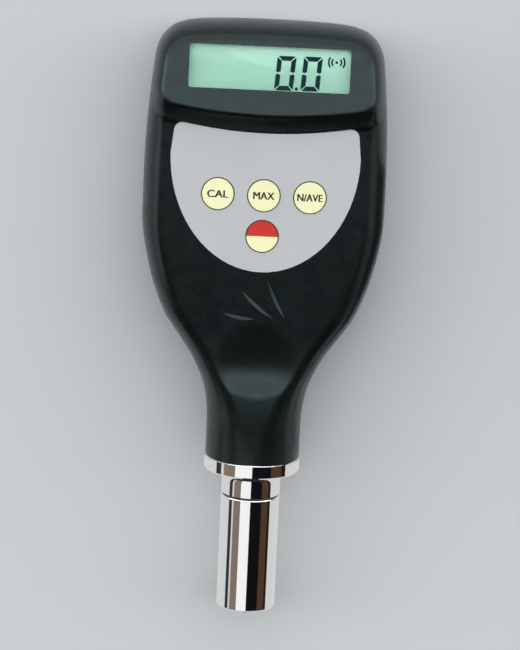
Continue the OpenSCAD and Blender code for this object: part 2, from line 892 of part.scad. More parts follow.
// Turned collar: spigot, short neck, flange and the grooved tail inside the housing
module collar() {
    c = seam_chamfer;
    r = barrel_d / 2;
    groove_r = tail_d / 2 - lock_depth;
    rim_r = 0.4;
    color(chrome)
        along(0)
            rotate_extrude()
                polygon([
                    [nut_d / 2, seam_y - spigot_len],
                    [spigot_d / 2, seam_y - spigot_len],
                    [spigot_d / 2, seam_y],
                    [r - c, seam_y],
                    [r, seam_y + c],
                    [r, flange_y],
                    [flange_d / 2 - rim_r, flange_y],
                    [flange_d / 2, flange_y + rim_r],
                    [flange_d / 2, body_y - rim_r],
                    [flange_d / 2 - rim_r, body_y],
                    [tail_d / 2, body_y],
                    [tail_d / 2, lock_y],
                    [groove_r, lock_y],
                    [groove_r, lock_y + lock_w],
                    [tail_d / 2, lock_y + lock_w],
                    [tail_d / 2, tail_end_y],
                    [bobbin_d / 2, tail_end_y],
                    [bobbin_d / 2, bobbin_y],
                    [nut_d / 2, bobbin_y]
                ]);
}

module barrel() {
    c = seam_chamfer;
    f = foot_chamfer;
    r = barrel_d / 2;
    socket_y = seam_y - spigot_len - 0.5;
    color(chrome)
        along(0)
            rotate_extrude()
                polygon([
                    [foot_hole_d / 2, 0],
                    [r - f, 0],
                    [r, f],
                    [r, seam_y - c],
                    [r - c, seam_y],
                    [spigot_d / 2, seam_y],
                    [spigot_d / 2, socket_y],
                    [barrel_bore_d / 2, socket_y],
                    [barrel_bore_d / 2, foot_t],
                    [foot_hole_d / 2, foot_t]
                ]);
}

module guide_bush() {
    color(brass)
        along(foot_t)
            difference() {
                cylinder(d = barrel_bore_d, h = bush_len);
                translate([0, 0, -1])
                    cylinder(d = shaft_d + 2 * run_fit, h = bush_len + 2);
            }
}

// Indenter: pin with a cut-off cone, shaft, stop shoulder and the stub for the sensor core
module indenter() {
    color(steel)
        along(0)
            rotate_extrude()
                polygon([
                    [0, -tip_out],
                    [tip_flat_d / 2, -tip_out],
                    [pin_d / 2, -tip_out + tip_len],
                    [pin_d / 2, shaft_y],
                    [shaft_d / 2, shaft_y],
                    [shaft_d / 2, bush_top_y],
                    [shoulder_d / 2, bush_top_y],
                    [shoulder_d / 2, spring_y],
                    [shaft_d / 2, spring_y],
                    [shaft_d / 2, core_y],
                    [core_stub_d / 2, core_y],
                    [core_stub_d / 2, core_y + core_stub_len],
                    [0, core_y + core_stub_len]
                ]);
}

module sensor_core() {
    color([0.25, 0.25, 0.27])
        along(core_y)
            difference() {
                cylinder(d = shaft_d, h = core_len);
                translate([0, 0, -1])
                    cylinder(d = core_stub_d, h = core_stub_len + 1);
            }
}

// Round wire wound from a station over a length; its hexagonal section keeps it light
module coil(d, wire, len, turns, per_turn) {
    n = turns * per_turn;
    k = 6;
    rise = (len - wire) / n;
    points = [
        for (i = [0 : n]) for (q = [0 : k - 1])
            let (a = 360 * i / per_turn, b = 90 + 360 * q / k, r = d / 2 + wire / 2 * cos(b))
            [r * cos(a), r * sin(a), wire / 2 + rise * i + wire / 2 * sin(b)]
    ];
    faces = concat(
        [[for (q = [0 : k - 1]) k - 1 - q]],
        [[for (q = [0 : k - 1]) n * k + q]],
        [for (i = [0 : n - 1]) for (q = [0 : k - 1]) [i * k + q, i * k + (q + 1) % k, (i + 1) * k + q]],
        [for (i = [0 : n - 1]) for (q = [0 : k - 1])
            [i * k + (q + 1) % k, (i + 1) * k + (q + 1) % k, (i + 1) * k + q]]
    );
    polyhedron(points, faces);
}

module indenter_spring() {
    color(steel)
        along(spring_y)
            coil(spring_d, spring_wire, spring_len, spring_turns, 12);
}

module preload_nut() {
    slot_w = 1.2;
    color(brass)
        along(nut_y)
            difference() {
                cylinder(d = nut_d, h = nut_len);
                translate([0, 0, -1])
                    cylinder(d = shaft_d + 2 * run_fit, h = nut_len + 2);
                translate([-nut_d, -slot_w / 2, nut_len - 1.5])
                    cube([2 * nut_d, slot_w, 3]);
            }
}

module coil_bobbin() {
    f = bobbin_flange;
    r = bobbin_d / 2;
    t = bobbin_tube_d / 2;
    bore = shaft_d / 2 + free_gap;
    color([0.85, 0.82, 0.7])
        along(bobbin_y)
            rotate_extrude()
                polygon([
                    [bore, 0], [r, 0], [r, f], [t, f],
                    [t, bobbin_len - f], [r, bobbin_len - f], [r, bobbin_len], [bore, bobbin_len]
                ]);
}

module coil_winding() {
    f = bobbin_flange;
    color(copper)
        along(bobbin_y + f)
            difference() {
                cylinder(d = bobbin_d - 1, h = bobbin_len - 2 * f);
                translate([0, 0, -1])
                    cylinder(d = bobbin_tube_d, h = bobbin_len);
            }
}

// Flat lead from the bobbin's flange to the board's front
module sensor_ribbon() {
    y0 = bobbin_y + bobbin_len;
    t = ribbon_t;
    high = bobbin_d / 2 - 1;
    bend = board_low_y - ribbon_lead;
    end = board_low_y + ribbon_lap;
    color([0.75, 0.55, 0.2])
        across(ribbon_w)
            polygon([
                [y0, ribbon_root], [y0, high], [bend - ribbon_slope, high], [bend, board_z + t],
                [end, board_z + t], [end, board_z], [bend, board_z],
                [bend - ribbon_slope, high - t], [y0 + t, high - t], [y0 + t, ribbon_root]
            ]);
}

// Every second cell, with its contacts, points the other way
module cell_seat(i) {
    translate([cell_x[i], 0, cell_z])
        if (i % 2 == 0)
            along(bay_y)
                children();
        else
            translate([0, bay_top_y, 0])
                rotate([90, 0, 0])
                    children();
}

module battery(i) {
    color([0.2, 0.35, 0.6])
        cell_seat(i)
            translate([0, 0, contact_t + contact_len]) {
                cylinder(d = cell_d, h = cell_len - nub_len);
                cylinder(d = nub_d, h = cell_len);
            }
}

module contact_spring(i) {
    color(steel)
        cell_seat(i) {
            translate([-contact_w / 2, -contact_w / 2, 0])
                cube([contact_w, contact_w, contact_t]);
            translate([0, 0, contact_t - 0.1])
                coil(5.6, 0.7, contact_len + 0.1, 3, 10);
        }
}

module contact_plate(i) {
    color(steel)
        cell_seat(i)
            translate([-contact_w / 2, -contact_w / 2, bay_len - contact_t])
                cube([contact_w, contact_w, contact_t]);
}

module case_screws() {
    color(steel)
        both_sides()
            for (p = post_spots)
                translate([p[0], p[1], case_seat_z]) {
                    cylinder(d = case_screw_d, h = case_tip_z - case_seat_z);
                    translate([0, 0, -case_head_h])
                        cylinder(d = case_head_d, h = case_head_h);
                }
}

// Stands the part on its back, with the origin under the middle of its box
module placed() {
    translate([0, -(top_y - tip_out) / 2, max(back_depth, flange_d / 2)])
        children();
}

placed() {
    front_shell();
    rear_shell();
    battery_cover();
    display_window();
    lcd_panel();
    lcd_holder();
    zebra_strip();
    main_board();
    board_screws();
    keypad_panel();
    for (k = key_spots) {
        key(k[1], k[0] == "power" ? red : cream);
        switch(k[1]);
    }
    collar();
    barrel();
    guide_bush();
    indenter();
    sensor_core();
    indenter_spring();
    preload_nut();
    coil_bobbin();
    coil_winding();
    sensor_ribbon();
    for (i = [0 : cell_count - 1]) {
        battery(i);
        contact_spring(i);
        contact_plate(i);
    }
    case_screws();
}
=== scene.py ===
import json
import math

import bmesh
import bpy
import numpy as np
from mathutils import Matrix, Vector


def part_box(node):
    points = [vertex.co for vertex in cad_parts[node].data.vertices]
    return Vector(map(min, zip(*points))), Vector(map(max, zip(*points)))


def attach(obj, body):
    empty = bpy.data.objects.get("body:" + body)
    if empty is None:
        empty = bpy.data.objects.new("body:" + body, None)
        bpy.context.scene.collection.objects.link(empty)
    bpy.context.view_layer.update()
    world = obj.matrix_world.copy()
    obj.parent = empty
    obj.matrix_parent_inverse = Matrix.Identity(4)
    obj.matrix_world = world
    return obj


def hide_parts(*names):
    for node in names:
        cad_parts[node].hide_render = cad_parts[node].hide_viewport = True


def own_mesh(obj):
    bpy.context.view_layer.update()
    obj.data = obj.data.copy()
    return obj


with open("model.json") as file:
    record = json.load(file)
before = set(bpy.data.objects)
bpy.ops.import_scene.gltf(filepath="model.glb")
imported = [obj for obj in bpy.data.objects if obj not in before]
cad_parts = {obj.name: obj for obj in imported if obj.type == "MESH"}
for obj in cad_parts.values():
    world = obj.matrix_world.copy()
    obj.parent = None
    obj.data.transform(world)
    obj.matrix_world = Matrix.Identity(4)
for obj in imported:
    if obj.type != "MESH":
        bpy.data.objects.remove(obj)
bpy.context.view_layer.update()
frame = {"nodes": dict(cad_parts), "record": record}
nodes = frame["nodes"]
scene = bpy.context.scene
scene.view_settings.view_transform = "Standard"

MM = 0.001
# Where the CAD's stations along the barrel and heights over its axis start in the row frame
Y0 = -79.75
Z0 = 13.0
KEYS = ("key_cal", "key_max", "key_average", "key_power")
# Height of print over what carries it, in metres
PRINT_GAP = 0.00001


def row(x, s, f):
    """Point in the row frame, from millimetres across, along the barrel and over its axis."""
    return Vector((x * MM, (s + Y0) * MM, (f + Z0) * MM))


def middle(name):
    """Middle of a CAD node's box in plan."""
    lo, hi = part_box(name)
    return (lo.x + hi.x) / 2, (lo.y + hi.y) / 2


def turn_by(low, high, n):
    """Angles in radians at even steps between two angles in degrees."""
    return [math.radians(low + (high - low) * i / n) for i in range(n + 1)]


def add_object(name, bm):
    """Object that holds a finished mesh."""
    me = bpy.data.meshes.new(name)
    bm.to_mesh(me)
    bm.free()
    o = bpy.data.objects.new(name, me)
    scene.collection.objects.link(o)
    return o


def add_piece(name, bm, material, body):
    """Visible piece with a material, which rides on a body."""
    o = add_object(name, bm)
    o.data.materials.append(material)
    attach(o, body)


def add_face(bm, *corners):
    """Face over its distinct corners, where three or more are left."""
    loop = list(dict.fromkeys(corners))
    if len(loop) > 2:
        bm.faces.new(loop)


# Materials

# Noise scales of the tones and of the wear, how far wear changes the roughness, depth of a fine grain
MOTTLE, WEAR, WEAR_SPREAD, FINE_DEPTH = 90, 260, 0.05, 0.00001


def new_material(name):
    m = bpy.data.materials.new(name)
    m.use_nodes = True
    return m, m.node_tree, m.node_tree.nodes["Principled BSDF"]


def node(t, kind, **values):
    """New node with values on its inputs, or on its properties, of those names."""
    n = t.nodes.new(kind)
    for k, v in values.items():
        if k in n.inputs:
            n.inputs[k].default_value = v
        else:
            setattr(n, k, v)
    return n


def ramp(t, source, stops):
    """Colours or plain values at places along a source."""
    r = t.nodes.new("ShaderNodeValToRGB")
    e = r.color_ramp.elements
    while len(e) < len(stops):
        e.new(0.5)
    for i, (pos, c) in enumerate(stops):
        e[i].position = pos
        e[i].color = (c, c, c, 1) if isinstance(c, (int, float)) else (*c, 1)
    t.links.new(source, r.inputs[0])
    return r.outputs[0]


def noise(t, scale, detail, rough=0.55, stretch=None):
    c = t.nodes.new("ShaderNodeTexCoord")
    out = c.outputs["Object"]
    if stretch:
        m = t.nodes.new("ShaderNodeMapping")
        m.inputs["Scale"].default_value = stretch
        t.links.new(out, m.inputs[0])
        out = m.outputs[0]
    n = node(t, "ShaderNodeTexNoise", Scale=scale, Detail=detail, Roughness=rough)
    t.links.new(out, n.inputs["Vector"])
    return n.outputs["Fac"]


def mottled(t, scale, detail, low, high):
    """Noise between two tones."""
    return ramp(t, noise(t, scale, detail), [(0.3, low), (0.7, high)])


def bump(t, p, height, strength, distance):
    b = node(t, "ShaderNodeBump", Strength=strength, Distance=distance)
    t.links.new(height, b.inputs["Height"])
    t.links.new(b.outputs[0], p.inputs["Normal"])


def plastic(name, dark, light, rough, grain=0.35, scale=3200, depth=0.00002, specular=0.5, tint=(1, 1, 1)):
    """Moulded plastic: colour between two tones, roughness that varies, a fine spark-eroded grain."""
    m, t, p = new_material(name)
    t.links.new(mottled(t, MOTTLE, 4, dark, light), p.inputs["Base Color"])
    worn = ramp(t, noise(t, WEAR, 5), [(0.25, rough - WEAR_SPREAD), (0.75, rough + WEAR_SPREAD)])
    t.links.new(worn, p.inputs["Roughness"])
    p.inputs["Specular IOR Level"].default_value = specular
    p.inputs["Specular Tint"].default_value = (*tint, 1)
    bump(t, p, noise(t, scale, 2), grain, depth)
    return m


def metal(name, low, high, rough, scale, stretch, strength=0.1, spread=0.06):
    """Worked metal: tone and roughness follow the fine marks of turning or drawing."""
    m, t, p = new_material(name)
    p.inputs["Metallic"].default_value = 1.0
    marks = noise(t, scale, 4, 0.6, stretch)
    t.links.new(ramp(t, marks, [(0.3, low), (0.7, high)]), p.inputs["Base Color"])
    t.links.new(ramp(t, marks, [(0.3, rough), (0.7, rough + spread)]), p.inputs["Roughness"])
    bump(t, p, marks, strength, FINE_DEPTH)
    return m


CREAM = (0.93, 0.9, 0.52), (0.96, 0.93, 0.56)
RED = (0.58, 0.026, 0.015), (0.64, 0.031, 0.019)
MINT = (0.58, 0.93, 0.76), (0.61, 0.95, 0.79)
KEY_ROUGH, KEY_GRAIN, KEY_GRAIN_SCALE = 0.42, 0.12, 4200

housing = plastic(
    "housing_black", (0.0025, 0.0042, 0.0042), (0.0034, 0.0052, 0.0052), 0.28,
    specular=0.41, tint=(0.78, 1.0, 0.98),
)
inner = plastic("inner_plastic", (0.03, 0.03, 0.032), (0.04, 0.04, 0.043), 0.5)
panel_grey = plastic(
    "panel_film", (0.525, 0.52, 0.525), (0.545, 0.54, 0.548), 0.45, grain=0.15, scale=5200, depth=FINE_DEPTH
)
cream = plastic("key_cream", *CREAM, KEY_ROUGH, grain=KEY_GRAIN, scale=KEY_GRAIN_SCALE, depth=FINE_DEPTH)
rubber = plastic("elastomer", (0.4, 0.16, 0.2), (0.5, 0.22, 0.26), 0.7)
board_green = plastic("solder_mask", (0.012, 0.06, 0.022), (0.02, 0.085, 0.032), 0.3)
bobbin_tan = plastic("bobbin_tan", (0.4, 0.36, 0.22), (0.48, 0.43, 0.27), 0.5)
film = plastic("ribbon_film", (0.3, 0.12, 0.02), (0.38, 0.16, 0.03), 0.35)
jacket = plastic("cell_jacket", (0.02, 0.035, 0.12), (0.03, 0.045, 0.15), 0.3, grain=0.1)
ferrite = plastic("ferrite", (0.025, 0.025, 0.028), (0.045, 0.045, 0.05), 0.55)
lcd_ink = plastic("lcd_ink", (0.003, 0.018, 0.024), (0.005, 0.023, 0.03), 0.5, grain=0.1, specular=0.03)
legend_ink = plastic("legend_ink", (0.012, 0.012, 0.014), (0.018, 0.018, 0.02), 0.5, grain=0.1)
chrome = metal("chrome_plate", (0.86, 0.87, 0.87), (0.9, 0.9, 0.91), 0.025, 500, (1, 0.15, 1), 0.01)
steel = metal("ground_steel", (0.45, 0.46, 0.48), (0.58, 0.59, 0.61), 0.22, 1500, (1, 0.1, 1))
brass = metal("turned_brass", (0.55, 0.38, 0.12), (0.7, 0.5, 0.2), 0.2, 1500, (0.1, 1, 0.1))
copper = metal("copper_wire", (0.4, 0.14, 0.06), (0.62, 0.25, 0.1), 0.25, 1500, (0.05, 3, 0.05), 0.4)


def power_key():
    """Power key in two halves: red above its middle line, cream below."""
    m, t, p = new_material("key_power")
    c = t.nodes.new("ShaderNodeTexCoord")
    xyz = t.nodes.new("ShaderNodeSeparateXYZ")
    t.links.new(c.outputs["Object"], xyz.inputs[0])
    above = node(t, "ShaderNodeMath", operation="GREATER_THAN")
    above.inputs[1].default_value = middle("key_power")[1]
    t.links.new(xyz.outputs["Y"], above.inputs[0])
    mix = t.nodes.new("ShaderNodeMix")
    mix.data_type = "RGBA"
    t.links.new(above.outputs[0], mix.inputs["Factor"])
    t.links.new(mottled(t, MOTTLE, 4, *CREAM), mix.inputs["A"])
    t.links.new(mottled(t, MOTTLE, 4, *RED), mix.inputs["B"])
    t.links.new(mix.outputs["Result"], p.inputs["Base Color"])
    p.inputs["Roughness"].default_value = KEY_ROUGH
    bump(t, p, noise(t, KEY_GRAIN_SCALE, 2), KEY_GRAIN, FINE_DEPTH)
    return m


def lcd_glass():
    """Display: mint reflector with a faint grain."""
    m, t, p = new_material("lcd_mint")
    t.links.new(mottled(t, 700, 5, *MINT), p.inputs["Base Color"])
    p.inputs["Roughness"].default_value = 0.5
    p.inputs["Specular IOR Level"].default_value = 0.12
    bump(t, p, noise(t, 5000, 2), 0.1, FINE_DEPTH)
    return m


def window_glass():
    """Clear window, wiped to a roughness that varies."""
    m, t, p = new_material("window_clear")
    p.inputs["Alpha"].default_value = 0.012
    p.inputs["Base Color"].default_value = (0.5, 0.6, 0.56, 1)
    t.links.new(mottled(t, 300, 4, 0.03, 0.07), p.inputs["Roughness"])
    return m


finish = {
    "housing": housing, "window": window_glass(), "lcd": lcd_glass(), "inner_plastic": inner,
    "elastomer": rubber, "board": board_green, "panel": panel_grey, "key_cream": cream,
    "key_red": power_key(), "chrome": chrome, "steel": steel, "brass": brass, "ferrite": ferrite,
    "bobbin": bobbin_tan, "copper": copper, "ribbon": film, "cell_jacket": jacket,
}
for part in frame["record"]["subparts"]:
    slots = nodes[part["node"]].data.materials
    slots.clear()
    slots.append(finish[part["material_slot"]])

# Front shell: the CAD's loft on a fine net, with the hood and thumb dish blended into it

# Stations of the housing's lower end, the flare's two ends, the crown's foot and the top
BODY, FLARE, FULL, CROWN, TOP = 43.0, 52.0, 110.0, 152.0, 162.0
# Half widths of the neck and the head, and how far the head draws in from a station to the top
NECK, HEAD, HEAD_TAPER, TAPER_Y = 12.8, 32.5, 3.5, 118.0
# Height of the flat face, the station where it starts, and the wall
FACE, FACE_Y, WALL = 11.5, 78.0, 2.0
# Shares of the flare's length and of its rise
FLARE_CURVE = ((0, 0), (0.17, 0.06), (0.31, 0.235), (0.4, 0.41), (0.53, 0.665), (0.74, 0.885), (1, 1))
# Crown: bow of its top edge, squareness and turn of its corners
CROWN_BOW, CROWN_POWER, CROWN_TURN = 1.2, 9, math.radians(60)
# Rounding of the edge: nearly a half round on the neck, even along the sides, tighter on the crown
ROUND_Y, ROUND_RUN, NECK_FLAT, SIDE_ROUND = 45.0, 23.0, 0.6, 6.0
CROWN_ROUND_Y, CROWN_ROUND_RUN, CROWN_ROUND = 128.0, 18.0, 4.4
# Hood: its middle and tilt, its outline in its own plane, its sloped foot, where its sides meet the shell's
HOOD_Y, HOOD_Z, HOOD_TILT = 150.7, 13.4, math.radians(9)
HOOD_LOW, HOOD_DROP, HOOD_CORNER, HOOD_ARC = 30.3, 14.2, 7.0, 147.0
HOOD_FOOT, HOOD_SLOPE, HOOD_BEND, HOOD_REACH = 4.0, 6.2, 0.2, 6.0
HOOD_SIDE_Y, HOOD_SIDE_RUN = 147.7, 7.0
# Thumb dish: middle, half width, half height, depth, how far its deepest point lies low, soft rim
DISH_Y, DISH_W, DISH_H, DISH_DEPTH, DISH_LOW, DISH_RIM = 71.3, 10.0, 8.6, 1.3, 1.8, 0.7
# Inside of the arcs' ends where the dish stops, and a height that is over everything
DISH_CLEAR, NO_DISH = 1, 99
# Net: stations of the body and hood, points on the crown, across the rounding and over the flat
NET_BODY, NET_HOOD, NET_CROWN, NET_ROUND, NET_FLAT = 150, 120, 34, 16, 24
NET_MARGIN, NET_ROUND_SHARE, NET_WELD, ON_MIDDLE = 1.0, 0.97, 1e-7, 1e-9


def curve_at(x):
    """Flare's share of its rise, on a smooth curve through its points."""
    c = FLARE_CURVE
    i = max(k for k in range(len(c) - 1) if x >= c[k][0] or k == 0)

    def slope(k):
        return 0 if k in (0, len(c) - 1) else (c[k + 1][1] - c[k - 1][1]) / (c[k + 1][0] - c[k - 1][0])

    h = c[i + 1][0] - c[i][0]
    t = (x - c[i][0]) / h
    return (
        (2 * t**3 - 3 * t**2 + 1) * c[i][1] + (t**3 - 2 * t**2 + t) * h * slope(i)
        + (3 * t**2 - 2 * t**3) * c[i + 1][1] + (t**3 - t**2) * h * slope(i + 1)
    )


def side_w(y):
    """Half width of the housing at a station."""
    if y <= FLARE:
        return NECK
    if y < FULL:
        return NECK + (HEAD - NECK) * curve_at((y - FLARE) / (FULL - FLARE))
    return HEAD - HEAD_TAPER * (max(y - TAPER_Y, 0) / (TOP - TAPER_Y)) ** 2


def crown(n):
    """Right half of the crown's outline, from the side to the middle of the top."""
    power = 2 / CROWN_POWER
    q0 = math.cos(CROWN_TURN) ** power
    shares = [math.cos(CROWN_TURN * i / n) ** power for i in range(n + 1)]
    shares += [q0 * (1 - i / n) for i in range(1, n + 1)]
    out = []
    for q in shares:
        corner_h = (TOP - CROWN - CROWN_BOW) * math.sqrt(max(1 - q**CROWN_POWER, 0))
        y = CROWN + corner_h + CROWN_BOW * (1 - q * q)
        out.append((side_w(y) * q, y))
    return out


def ease(t):
    u = np.clip(t, 0, 1)
    return u * u * (3 - 2 * u)


def incline(t, bend):
    """Straight rise from 0 to 1 with a short bend at its foot and head."""
    u = np.clip(t, 0, 1)
    v = np.minimum(u, 1 - u)
    rise = np.where(v < bend, v * v / (2 * bend), v - bend / 2) / (1 - bend)
    return np.where(u < 0.5, rise, 1 - rise)


def quarter(d, w):
    """Share of the full height at a distance inside an edge that is rounded over a width."""
    return np.sqrt(np.clip(1 - (1 - np.clip(d / w, 0, 1)) ** 2, 0, 1))


def sag(v, r):
    """Rise of a circle's arc at a distance from its lowest point."""
    return r - np.sqrt(np.clip(r * r - v * v, 0, None))


def smooth_max(a, b, k):
    h = np.clip(k - np.abs(a - b), 0, None) / k
    return np.maximum(a, b) + h * h * k / 4


def nearest(points, line):
    """Distance from each point to a polyline, and the place along it as a station."""
    a, b = line[:-1], line[1:]
    d = b - a
    best = np.full(len(points), np.inf)
    where = np.zeros(len(points))
    for i in range(len(a)):
        t = np.clip(((points - a[i]) @ d[i]) / (d[i] @ d[i]), 0, 1)
        gap = np.hypot(*(points - a[i] - t[:, None] * d[i]).T)
        near = gap < best
        best[near] = gap[near]
        where[near] = (a[i][1] + t * d[i][1])[near]
    return best, where


def inside(points, loop):
    """Which points lie inside a closed loop."""
    hit = np.zeros(len(points), bool)
    x, y = points.T
    for (x1, y1), (x2, y2) in zip(loop, np.roll(loop, -1, 0)):
        if y1 != y2:
            cross = (y1 > y) != (y2 > y)
            hit ^= cross & (x < (x2 - x1) * (y - y1) / (y2 - y1) + x1)
    return hit


def hood_rim(n):
    """Right half of the hood's outline in its own plane: low arc, corner, leaning side, crown."""
    top = [(x, y - HOOD_Y) for x, y in crown(n)]
    lean = (top[0][0] - HOOD_LOW) / (HOOD_DROP + top[0][1])
    slant = math.sqrt(1 + lean * lean)
    c = top[0][0] - lean * top[0][1] - HOOD_CORNER * slant
    k = HOOD_ARC - HOOD_DROP
    qb = 2 * (lean * c - k)
    qc = c * c + k * k - (HOOD_ARC - HOOD_CORNER) ** 2
    u = (-qb - math.sqrt(qb * qb - 4 * slant * slant * qc)) / (2 * slant * slant)
    cx = c + lean * u
    a0 = math.atan2(u - k, cx)
    a1 = -math.atan(lean)
    low = [-math.pi / 2 + (a0 + math.pi / 2) * i / n for i in range(n)]
    bend = [a0 + (a1 - a0) * i / n for i in range(n + 1)]
    return (
        [(HOOD_ARC * math.cos(q), k + HOOD_ARC * math.sin(q)) for q in low]
        + [(cx + HOOD_CORNER * math.cos(q), u + HOOD_CORNER * math.sin(q)) for q in bend]
        + top
    )


def face_at(y):
    """Height of the front's middle at a station."""
    return NECK + (FACE - NECK) * ease((y - FLARE) / (FACE_Y - FLARE))


def round_w(at):
    """Width of the edge rounding at a station of the outline."""
    t = ease((at - ROUND_Y) / ROUND_RUN)
    u = ease((at - CROWN_ROUND_Y) / CROWN_ROUND_RUN)
    neck = np.array([side_w(y) for y in at]) - NECK_FLAT
    head = SIDE_ROUND * (1 - u) + CROWN_ROUND * u
    return np.where(at > CROWN, CROWN_ROUND, neck * (1 - t) + head * t)


def hood_rise(points, d, f):
    """How far the hood stands over a surface at each plan point, with the distance from the outline."""
    x, y = points.T
    half = np.array(hood_rim(NET_FLAT))
    loop = np.vstack([half, half[::-1] * (-1, 1)])
    flat = np.column_stack([x, (y - HOOD_Y) / math.cos(HOOD_TILT)])
    gap, _ = nearest(flat, half)
    step = np.where(inside(flat, loop), gap, -gap)
    plane = HOOD_Z - math.tan(HOOD_TILT) * (y - HOOD_Y)
    low = ease((HOOD_SIDE_Y - y) / HOOD_SIDE_RUN)
    share = 1 - low + low * incline((step + HOOD_FOOT) / HOOD_SLOPE, HOOD_BEND)
    rise = np.clip(plane * quarter(d, CROWN_ROUND) - f, 0, None) * share
    return np.where(y > HOOD_Y - HOOD_DROP - HOOD_REACH, rise, 0)


def dish_height(points):
    """Height of the thumb dish's hollow at each plan point."""
    x, y = points[:, 0], points[:, 1] - DISH_Y
    y = y + DISH_LOW * np.clip(1 - (y / DISH_H) ** 2, 0, None)
    rx, ry = [(half**2 + DISH_DEPTH**2) / (2 * DISH_DEPTH) for half in (DISH_W, DISH_H)]
    dish = face_at(points[:, 1]) - DISH_DEPTH + sag(x, rx) + sag(y, ry)
    near = (np.abs(x) < rx - DISH_CLEAR) & (np.abs(y) < ry - DISH_CLEAR)
    return np.where(near, dish, NO_DISH)


def front_height(points, rim):
    """Height of the front shell's surface over the parting plane at each plan point."""
    d, at = nearest(points, rim)
    f = face_at(points[:, 1]) * quarter(d, round_w(at))
    f = f + hood_rise(points, d, f)
    return -smooth_max(-f, -dish_height(points), DISH_RIM)


def front_shell_mesh():
    """Front shell with an outer and an inner skin, on a net that runs from the outline to the middle line."""
    hood_foot = HOOD_Y - HOOD_DROP - HOOD_REACH - NET_MARGIN
    stations = np.concatenate([
        np.linspace(BODY, hood_foot, NET_BODY, endpoint=False),
        np.linspace(hood_foot, CROWN, NET_HOOD, endpoint=False),
    ])
    rim = np.array([(side_w(y), y) for y in stations] + crown(NET_CROWN))
    rim[-1, 0] = 0
    centre = np.column_stack([np.zeros(len(rim)), np.minimum(rim[:, 1], HOOD_Y)])
    span = np.hypot(*(centre - rim).T)
    edge = np.minimum(round_w(rim[:, 1]) / span, NET_ROUND_SHARE)[:, None]
    first = edge * (1 - np.cos(np.linspace(0, math.pi / 2, NET_ROUND + 1)))[None, :]
    rest = first[:, -1:] + (1 - first[:, -1:]) * np.linspace(0, 1, NET_FLAT + 1)[None, 1:]
    share = np.hstack([first, rest])
    plan = rim[:, None, :] + (centre - rim)[:, None, :] * share[:, :, None]
    count_i, count_j = share.shape
    line = np.vstack([rim, rim[::-1][1:] * (-1, 1)])
    f = front_height(plan.reshape(-1, 2), line).reshape(count_i, count_j)
    f[:, 0] = 0
    # inner skin: the same net drawn in by the wall
    pull = np.clip(WALL / span, 0, 1)[:, None] * (1 - share)
    plan_in = plan + (centre[:, None, :] - plan) * pull[:, :, None]
    plan_in[0, :, 1] = plan[0, :, 1]
    f_in = np.clip(f - WALL, 0, None)
    bm = bmesh.new()

    def skin(px, fx):
        """Right and left half of one skin, as rows of points that share the middle line."""
        grid = []
        for i in range(count_i):
            right = [bm.verts.new(row(x, y, z)) for (x, y), z in zip(px[i], fx[i])]
            left = [
                v if x < ON_MIDDLE else bm.verts.new(row(-x, y, z))
                for v, (x, y), z in zip(right, px[i], fx[i])
            ]
            grid.append((right, left))
        for below, above in zip(grid, grid[1:]):
            for a, b in zip(below, above):
                for j in range(count_j - 1):
                    add_face(bm, a[j], a[j + 1], b[j + 1], b[j])
        return grid

    outer = skin(plan, f)
    hollow = skin(plan_in, f_in)
    for side in (0, 1):
        for i in range(count_i - 1):
            add_face(bm, outer[i][side][0], outer[i + 1][side][0], hollow[i + 1][side][0], hollow[i][side][0])
        out_end, in_end = outer[0][side], hollow[0][side]
        for j in range(count_j - 1):
            add_face(bm, out_end[j], out_end[j + 1], in_end[j + 1], in_end[j])
    bmesh.ops.remove_doubles(bm, verts=bm.verts, dist=NET_WELD)
    bmesh.ops.dissolve_degenerate(bm, edges=bm.edges, dist=NET_WELD)
    bmesh.ops.recalc_face_normals(bm, faces=bm.faces)
    return add_object("front_shell_fine", bm)


# Cuts in the front shell: display opening, keypad recess, key holes and the three slashes

# Display opening: width, height, corner; its two ends along the hood's own axis
LCD_W, LCD_H, LCD_CORNER, LCD_CUT = 42.3, 11.5, 0.7, (-5, 3)
# Keypad panel: station of its top edge's middle, its height, the gap round it and its recess
PANEL_Y, PANEL_LOW, PANEL_GAP, PANEL_RECESS, CUT_OVER = 127.2, 31.4, 0.02, 0.6, 3
# Point inside the panel, below its top edge, the room kept round a key and the flatness, in metres
PANEL_INNER, KEY_CLEAR, SAME_HEIGHT = 0.008, 0.006, 1e-6
KEY_HOLE, KEY_CUT = 4.35, (5, 15)
# Ends of the slashes, from the middle of the panel's lower edge
SLASHES = (((-9.3, -11.4), (-0.9, -12.7)), ((-4.6, -5.3), (3.8, -12.3)), ((1.9, -1.3), (7, -12.1)))
# Width of a slash's steep wall and long flank, its depth, the share by which they run on past the face
SLASH_STEEP, SLASH_FLANK, SLASH_DEEP, SLASH_OVER, SLASH_TOP = 0.5, 0.95, 0.32, 0.2, 1.0
# Fullness of a slash's leaf shape, its width at the ends, steps along it
LEAF_POWER, LEAF_END, LEAF_STEPS = 0.85, 0.02, 28


def prism(loop, low, high, place=None):
    """Closed prism over a plan loop in millimetres, in the housing's own axes or in a given place."""
    bm = bmesh.new()
    a = [bm.verts.new((x, y, low)) for x, y in loop]
    b = [bm.verts.new((x, y, high)) for x, y in loop]
    bm.faces.new(a)
    bm.faces.new(b)
    for i in range(len(a)):
        bm.faces.new((a[i - 1], a[i], b[i], b[i - 1]))
    bmesh.ops.recalc_face_normals(bm, faces=bm.faces)
    o = add_object("prism", bm)
    axes_at = Matrix.Translation((0, Y0 * MM, Z0 * MM)) @ Matrix.Diagonal((MM, MM, MM, 1))
    o.data.transform(axes_at @ (place or Matrix.Identity(4)))
    return o


